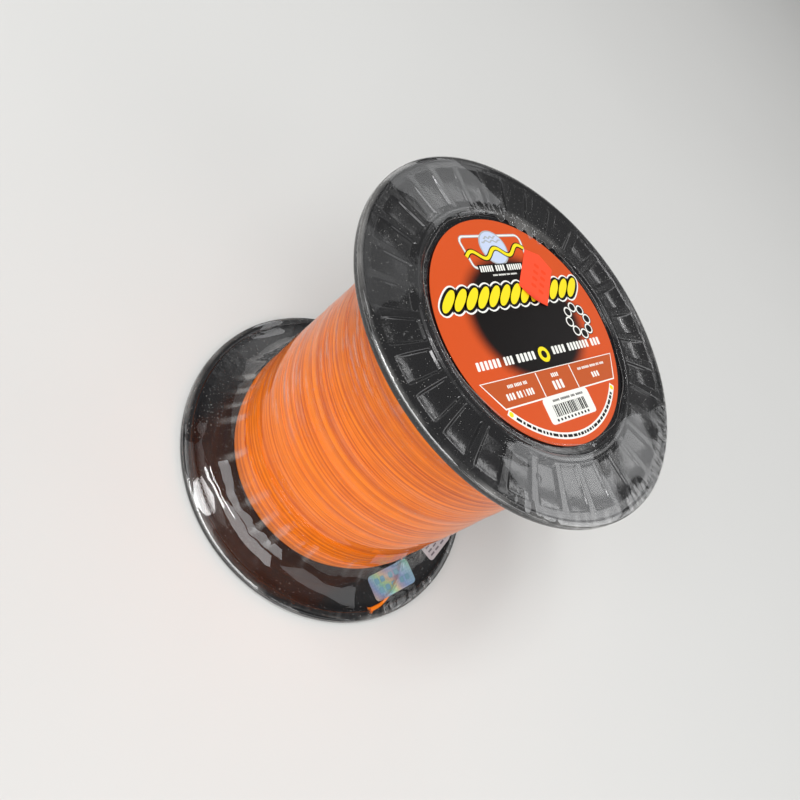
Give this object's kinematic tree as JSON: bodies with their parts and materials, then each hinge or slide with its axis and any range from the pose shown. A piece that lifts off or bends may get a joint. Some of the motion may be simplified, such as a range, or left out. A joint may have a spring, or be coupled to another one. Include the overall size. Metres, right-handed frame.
{
  "type": "fishing line spool",
  "caption": "Shrink-wrapped bulk spool of braided fishing line: flanged plastic core, wound line, round label on the front flange.",
  "frame": {"origin": "under the middle of the rear face, on the plane that the spool stands on", "axes": "+Z along the spool's axis out of the label side; +X the way the label reads"},
  "size_m": [0.1226, 0.1226, 0.1137],
  "materials": {
    "black_plastic": "glossy moulded polystyrene",
    "core_plastic": "satin moulded polystyrene",
    "tape": "crepe paper tape",
    "braid": "dyed polyethylene braid",
    "label": "semi-gloss printed label",
    "price_paper": "matt fluorescent paper",
    "hologram": "iridescent foil",
    "lot_paper": "matt coated paper",
    "film": "clear glossy shrink film"
  },
  "bodies": {
    "root": {"front_flange": "black_plastic", "rear_flange": "black_plastic", "core_barrel": "core_plastic", "arbor_tube": "core_plastic", "anchor_tape": "tape", "line_pack": "braid", "line_tail": "braid", "front_label": "label", "price_sticker": "price_paper", "hologram_sticker": "hologram", "lot_sticker": "lot_paper", "shrink_film": "film", "shrink_film_rear_fold": "film"}
  },
  "joints": []
}
